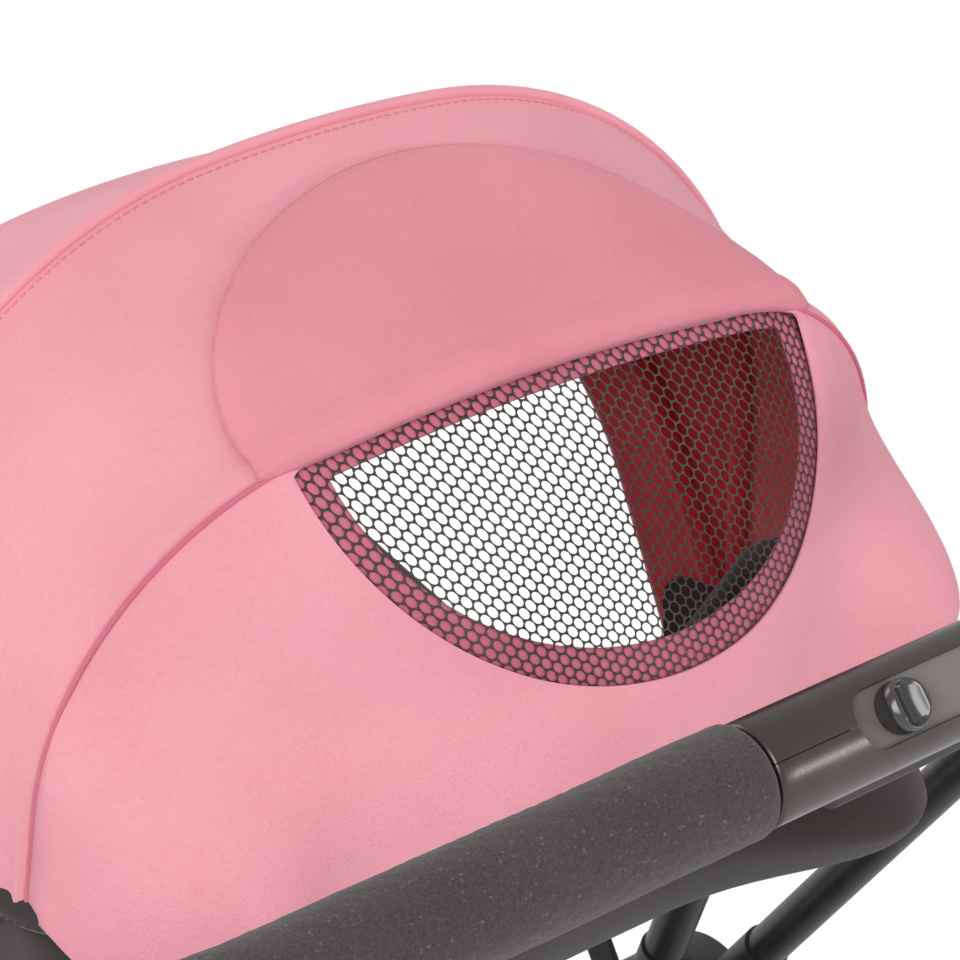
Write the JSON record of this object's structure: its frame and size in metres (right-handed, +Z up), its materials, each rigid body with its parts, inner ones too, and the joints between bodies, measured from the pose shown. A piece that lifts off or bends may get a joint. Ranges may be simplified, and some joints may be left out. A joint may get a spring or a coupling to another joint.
{
  "type": "pet stroller",
  "caption": "Folding pet stroller: canopied fabric cabin with a net rear window, U-shaped handle with foam grips and fold controls, under-basket, swivel front casters and braked rear wheels.",
  "frame": {"origin": "on the ground, under the middle of the outline", "axes": "+Y is the direction of travel, +X is to the right seen from behind, +Z is up"},
  "size_m": [0.5874, 0.71, 1.0248],
  "materials": {
    "pink_fabric": "matt woven polyester, pink",
    "charcoal_fabric": "matt woven polyester, charcoal",
    "pad_fabric": "soft quilted fabric, charcoal",
    "net": "knitted hexagonal net, black",
    "foam": "speckled EVA foam",
    "dark_plastic": "semi-gloss moulded plastic, dark grey",
    "slider_plastic": "polished moulded plastic, dark grey",
    "frame_tube": "powder-coated aluminium tube, dark grey",
    "steel": "plain steel",
    "tyre": "black EVA tyre",
    "rim_plastic": "moulded plastic, grey",
    "board": "stiff plastic board"
  },
  "bodies": {
    "chassis": {"hub_base_left": "dark_plastic", "hub_base_right": "dark_plastic", "hub_pin_left": "steel", "hub_pin_right": "steel", "front_leg_left": "frame_tube", "front_leg_right": "frame_tube", "front_cross_tube": "frame_tube", "caster_socket_left": "dark_plastic", "caster_socket_right": "dark_plastic", "rim_frame": "frame_tube", "cabin_tub": "charcoal_fabric", "floor_board": "board", "cabin_pad": "pad_fabric", "rim_strut_left": "frame_tube", "rim_strut_right": "frame_tube", "canopy_hinge_left": "dark_plastic", "canopy_hinge_right": "dark_plastic", "canopy_pin_left": "steel", "canopy_pin_right": "steel", "rear_hoop": "steel", "rear_panel": "pink_fabric", "window_net": "net", "middle_panel": "pink_fabric", "basket": "charcoal_fabric", "basket_straps": "charcoal_fabric"},
    "handle": {"handle_tube": "frame_tube", "hub_handle_disc_left": "dark_plastic", "hub_handle_disc_right": "dark_plastic", "foam_grip_left": "foam", "foam_grip_right": "foam", "housing_upper": "dark_plastic", "housing_lower": "dark_plastic"},
    "rear_legs": {"hub_rear_disc_left": "dark_plastic", "hub_rear_disc_right": "dark_plastic", "rear_leg_left": "frame_tube", "rear_leg_right": "frame_tube", "leg_boot_left": "dark_plastic", "leg_boot_right": "dark_plastic", "rear_axle": "steel"},
    "brake": {"brake_pedal": "dark_plastic"},
    "slider": {"thumb_slider": "slider_plastic"},
    "trigger": {"squeeze_trigger": "dark_plastic"},
    "top_bow": {"top_bow": "steel", "front_panel": "pink_fabric"},
    "front_bow": {"front_bow": "steel"},
    "flap": {"window_flap": "pink_fabric"},
    "rear_wheel_left": {"rear_tyre_left": "tyre", "rear_rim_left": "rim_plastic"},
    "caster_left": {"caster_fork_left": "dark_plastic", "caster_axle_left": "steel"},
    "front_wheel_left": {"front_tyre_left": "tyre", "front_rim_left": "rim_plastic"},
    "rear_wheel_right": {"rear_tyre_right": "tyre", "rear_rim_right": "rim_plastic"},
    "caster_right": {"caster_fork_right": "dark_plastic", "caster_axle_right": "steel"},
    "front_wheel_right": {"front_tyre_right": "tyre", "front_rim_right": "rim_plastic"}
  },
  "joints": [
    {"name": "handle_fold", "type": "hinge", "parent": "chassis", "child": "handle", "pos_m": [0, 0.09, 0.5], "axis": [-1, 0, 0], "range_deg": [0, 135]},
    {"name": "rear_leg_fold", "type": "hinge", "parent": "chassis", "child": "rear_legs", "pos_m": [0, 0.09, 0.5], "axis": [1, 0, 0], "range_deg": [0, 55]},
    {"name": "brake_press", "type": "hinge", "parent": "rear_legs", "child": "brake", "pos_m": [0, -0.29447, 0.09641], "axis": [1, 0, 0], "range_deg": [0, 20]},
    {"name": "slider_slide", "type": "slide", "parent": "handle", "child": "slider", "axis": [1, 0, 0], "range_m": [0, 0.03], "stiffness_N_per_m": 40},
    {"name": "trigger_squeeze", "type": "slide", "parent": "handle", "child": "trigger", "axis": [0, -0.1392, 0.9903], "range_m": [0, 0.003], "stiffness_N_per_m": 800},
    {"name": "top_bow_fold", "type": "hinge", "parent": "chassis", "child": "top_bow", "pos_m": [0, -0.015, 0.77], "axis": [1, 0, 0], "range_deg": [0, 20], "deforming": ["middle_panel"]},
    {"name": "front_bow_fold", "type": "hinge", "parent": "top_bow", "child": "front_bow", "pos_m": [0, -0.015, 0.77], "axis": [1, 0, 0], "range_deg": [0, 22], "deforming": ["front_panel"]},
    {"name": "flap_swing", "type": "hinge", "parent": "chassis", "child": "flap", "pos_m": [0, -0.1314, 0.9674], "axis": [1, 0, 0], "range_deg": [0, 215], "deforming": ["window_flap"]},
    {"name": "rear_wheel_spin_left", "type": "hinge", "parent": "rear_legs", "child": "rear_wheel_left", "pos_m": [-0.274, -0.27, 0.085], "axis": [1, 0, 0], "continuous": true},
    {"name": "caster_swivel_left", "type": "hinge", "parent": "chassis", "child": "caster_left", "pos_m": [-0.19, 0.29, 0.17], "axis": [0, 0, 1], "continuous": true},
    {"name": "front_wheel_spin_left", "type": "hinge", "parent": "caster_left", "child": "front_wheel_left", "pos_m": [-0.19, 0.255, 0.075], "axis": [1, 0, 0], "continuous": true},
    {"name": "rear_wheel_spin_right", "type": "hinge", "parent": "rear_legs", "child": "rear_wheel_right", "pos_m": [0.274, -0.27, 0.085], "axis": [1, 0, 0], "continuous": true},
    {"name": "caster_swivel_right", "type": "hinge", "parent": "chassis", "child": "caster_right", "pos_m": [0.19, 0.29, 0.17], "axis": [0, 0, 1], "continuous": true},
    {"name": "front_wheel_spin_right", "type": "hinge", "parent": "caster_right", "child": "front_wheel_right", "pos_m": [0.19, 0.255, 0.075], "axis": [1, 0, 0], "continuous": true}
  ],
  "couplings": [
    {"joint": "rear_leg_fold", "follows": "handle_fold", "ratio": 0.40741},
    {"joint": "front_bow_fold", "follows": "top_bow_fold", "ratio": 1.1}
  ]
}
